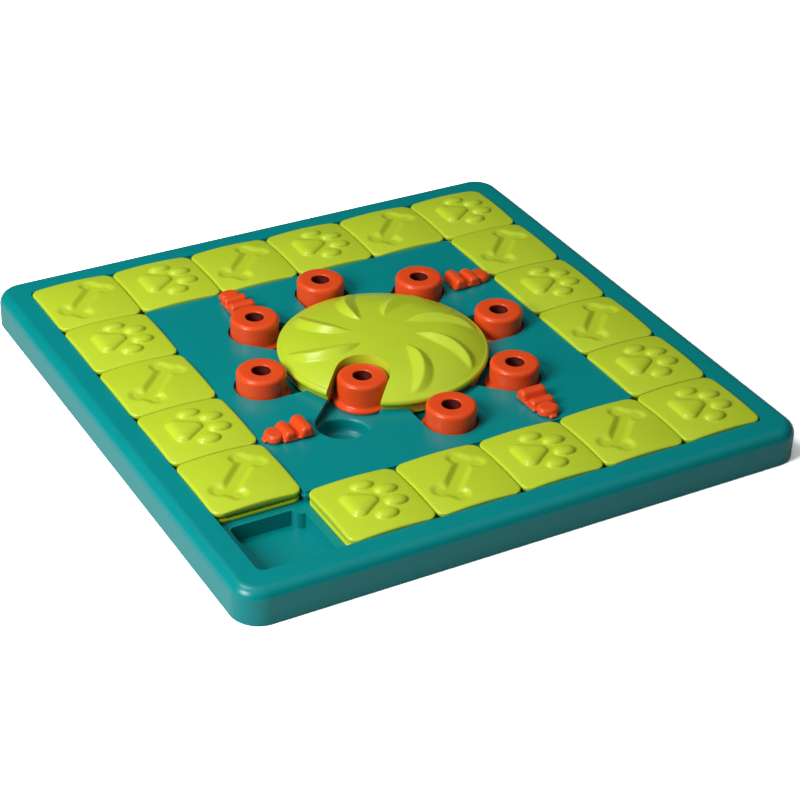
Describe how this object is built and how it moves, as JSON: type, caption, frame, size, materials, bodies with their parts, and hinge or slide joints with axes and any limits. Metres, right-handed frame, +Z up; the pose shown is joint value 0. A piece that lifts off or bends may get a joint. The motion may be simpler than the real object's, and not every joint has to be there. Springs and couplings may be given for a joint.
{
  "type": "dog puzzle feeder toy",
  "caption": "Square dog puzzle feeder board with a ring of sliding paw and bone tiles, sliding pegs over treat cups, a domed wheel and ridged latches.",
  "frame": {"origin": "centre of the board, on the surface that it stands on", "axes": "+Z up; +X and +Y along the board's sides; the empty place is at the -X, -Y corner"},
  "size_m": [0.413, 0.413, 0.045],
  "materials": {
    "teal_plastic": "satin moulded plastic",
    "lime_plastic": "satin moulded plastic",
    "red_plastic": "satin moulded plastic",
    "foot_rubber": "matt rubber",
    "screw_steel": "zinc-plated steel"
  },
  "bodies": {
    "board": {"border_frame": "teal_plastic", "centre_deck": "teal_plastic", "base_cover": "teal_plastic", "rubber_feet": "foot_rubber", "case_screws": "screw_steel", "hub_base": "teal_plastic", "tray_front": "teal_plastic", "tray_right": "teal_plastic", "tray_back": "teal_plastic", "tray_left": "teal_plastic", "peg_tray_1": "teal_plastic", "peg_tray_2": "teal_plastic", "peg_tray_3": "teal_plastic", "peg_tray_4": "teal_plastic", "peg_tray_5": "teal_plastic", "peg_tray_6": "teal_plastic", "peg_tray_7": "teal_plastic", "peg_tray_8": "teal_plastic"},
    "wheel": {"wheel": "lime_plastic", "wheel_washer": "screw_steel", "wheel_screw": "screw_steel"},
    "peg_1": {"peg_1": "red_plastic"},
    "peg_2": {"peg_2": "red_plastic"},
    "peg_3": {"peg_3": "red_plastic"},
    "peg_4": {"peg_4": "red_plastic"},
    "peg_5": {"peg_5": "red_plastic"},
    "peg_6": {"peg_6": "red_plastic"},
    "peg_7": {"peg_7": "red_plastic"},
    "peg_8": {"peg_8": "red_plastic"},
    "latch_front": {"latch_front": "red_plastic"},
    "latch_right": {"latch_right": "red_plastic"},
    "latch_back": {"latch_back": "red_plastic"},
    "latch_left": {"latch_left": "red_plastic"},
    "tile_left_1": {"tile_left_1": "lime_plastic"},
    "tile_left_2": {"tile_left_2": "lime_plastic"},
    "tile_left_3": {"tile_left_3": "lime_plastic"},
    "tile_left_4": {"tile_left_4": "lime_plastic"},
    "tile_left_5": {"tile_left_5": "lime_plastic"},
    "tile_back_1": {"tile_back_1": "lime_plastic"},
    "tile_back_2": {"tile_back_2": "lime_plastic"},
    "tile_back_3": {"tile_back_3": "lime_plastic"},
    "tile_back_4": {"tile_back_4": "lime_plastic"},
    "tile_back_5": {"tile_back_5": "lime_plastic"},
    "tile_right_1": {"tile_right_1": "lime_plastic"},
    "tile_right_2": {"tile_right_2": "lime_plastic"},
    "tile_right_3": {"tile_right_3": "lime_plastic"},
    "tile_right_4": {"tile_right_4": "lime_plastic"},
    "tile_right_5": {"tile_right_5": "lime_plastic"},
    "tile_front_1": {"tile_front_1": "lime_plastic"},
    "tile_front_2": {"tile_front_2": "lime_plastic"},
    "tile_front_3": {"tile_front_3": "lime_plastic"},
    "tile_front_4": {"tile_front_4": "lime_plastic"}
  },
  "joints": [
    {"name": "wheel_spin", "type": "hinge", "parent": "board", "child": "wheel", "pos_m": [0, 0, 0.02], "axis": [0, 0, 1], "range_deg": [-360, 360]},
    {"name": "peg_1_slide", "type": "slide", "parent": "wheel", "child": "peg_1", "axis": [-0.7071, -0.7071, 0], "range_m": [0, 0.043]},
    {"name": "peg_2_slide", "type": "slide", "parent": "board", "child": "peg_2", "axis": [0, 1, 0], "range_m": [0, 0.0025]},
    {"name": "peg_3_slide", "type": "slide", "parent": "board", "child": "peg_3", "axis": [-0.7071, 0.7071, 0], "range_m": [0, 0.0025]},
    {"name": "peg_4_slide", "type": "slide", "parent": "board", "child": "peg_4", "axis": [-1, 0, 0], "range_m": [0, 0.0025]},
    {"name": "peg_5_slide", "type": "slide", "parent": "board", "child": "peg_5", "axis": [-0.7071, -0.7071, 0], "range_m": [0, 0.0025]},
    {"name": "peg_6_slide", "type": "slide", "parent": "board", "child": "peg_6", "axis": [0, -1, 0], "range_m": [0, 0.0025]},
    {"name": "peg_7_slide", "type": "slide", "parent": "board", "child": "peg_7", "axis": [0.7071, -0.7071, 0], "range_m": [0, 0.0025]},
    {"name": "peg_8_slide", "type": "slide", "parent": "board", "child": "peg_8", "axis": [1, 0, 0], "range_m": [0, 0.0025]},
    {"name": "latch_front_slide", "type": "slide", "parent": "board", "child": "latch_front", "axis": [0, -1, 0], "range_m": [0, 0.004]},
    {"name": "latch_right_slide", "type": "slide", "parent": "board", "child": "latch_right", "axis": [1, 0, 0], "range_m": [0, 0.004]},
    {"name": "latch_back_slide", "type": "slide", "parent": "board", "child": "latch_back", "axis": [0, 1, 0], "range_m": [0, 0.004]},
    {"name": "latch_left_slide", "type": "slide", "parent": "board", "child": "latch_left", "axis": [-1, 0, 0], "range_m": [0, 0.004]},
    {"name": "tile_left_1_slide", "type": "slide", "parent": "board", "child": "tile_left_1", "axis": [0, -1, 0], "range_m": [0, 0.062]},
    {"name": "tile_left_2_slide", "type": "slide", "parent": "board", "child": "tile_left_2", "axis": [0, -1, 0], "range_m": [0, 0.062]},
    {"name": "tile_left_3_slide", "type": "slide", "parent": "board", "child": "tile_left_3", "axis": [0, -1, 0], "range_m": [0, 0.062]},
    {"name": "tile_left_4_slide", "type": "slide", "parent": "board", "child": "tile_left_4", "axis": [0, -1, 0], "range_m": [0, 0.062]},
    {"name": "tile_left_5_slide", "type": "slide", "parent": "board", "child": "tile_left_5", "axis": [0, -1, 0], "range_m": [0, 0.062]},
    {"name": "tile_front_4_slide", "type": "slide", "parent": "board", "child": "tile_front_4", "axis": [1, 0, 0], "range_m": [-0.062, 0]},
    {"name": "tile_front_3_slide", "type": "slide", "parent": "board", "child": "tile_front_3", "axis": [1, 0, 0], "range_m": [-0.062, 0]},
    {"name": "tile_front_2_slide", "type": "slide", "parent": "board", "child": "tile_front_2", "axis": [1, 0, 0], "range_m": [-0.062, 0]},
    {"name": "tile_front_1_slide", "type": "slide", "parent": "board", "child": "tile_front_1", "axis": [1, 0, 0], "range_m": [-0.062, 0]},
    {"name": "tile_right_5_slide", "type": "slide", "parent": "board", "child": "tile_right_5", "axis": [1, 0, 0], "range_m": [-0.062, 0]},
    {"name": "tile_right_1_slide", "type": "slide", "parent": "board", "child": "tile_right_1", "axis": [0, 1, 0], "range_m": [-0.0003, 0.0003]},
    {"name": "tile_right_2_slide", "type": "slide", "parent": "board", "child": "tile_right_2", "axis": [0, 1, 0], "range_m": [-0.0003, 0.0003]},
    {"name": "tile_right_3_slide", "type": "slide", "parent": "board", "child": "tile_right_3", "axis": [0, 1, 0], "range_m": [-0.0003, 0.0003]},
    {"name": "tile_right_4_slide", "type": "slide", "parent": "board", "child": "tile_right_4", "axis": [0, 1, 0], "range_m": [-0.0003, 0.0003]},
    {"name": "tile_back_1_slide", "type": "slide", "parent": "board", "child": "tile_back_1", "axis": [1, 0, 0], "range_m": [-0.0003, 0.0003]},
    {"name": "tile_back_2_slide", "type": "slide", "parent": "board", "child": "tile_back_2", "axis": [1, 0, 0], "range_m": [-0.0003, 0.0003]},
    {"name": "tile_back_3_slide", "type": "slide", "parent": "board", "child": "tile_back_3", "axis": [1, 0, 0], "range_m": [-0.0003, 0.0003]},
    {"name": "tile_back_4_slide", "type": "slide", "parent": "board", "child": "tile_back_4", "axis": [1, 0, 0], "range_m": [-0.0003, 0.0003]},
    {"name": "tile_back_5_slide", "type": "slide", "parent": "board", "child": "tile_back_5", "axis": [1, 0, 0], "range_m": [-0.0003, 0.0003]}
  ],
  "couplings": [
    {"joint": "tile_left_2_slide", "follows": "tile_left_1_slide", "ratio": 1},
    {"joint": "tile_left_3_slide", "follows": "tile_left_1_slide", "ratio": 1},
    {"joint": "tile_left_4_slide", "follows": "tile_left_1_slide", "ratio": 1},
    {"joint": "tile_left_5_slide", "follows": "tile_left_1_slide", "ratio": 1},
    {"joint": "tile_front_3_slide", "follows": "tile_front_4_slide", "ratio": 1},
    {"joint": "tile_front_2_slide", "follows": "tile_front_4_slide", "ratio": 1},
    {"joint": "tile_front_1_slide", "follows": "tile_front_4_slide", "ratio": 1},
    {"joint": "tile_right_5_slide", "follows": "tile_front_4_slide", "ratio": 1}
  ]
}
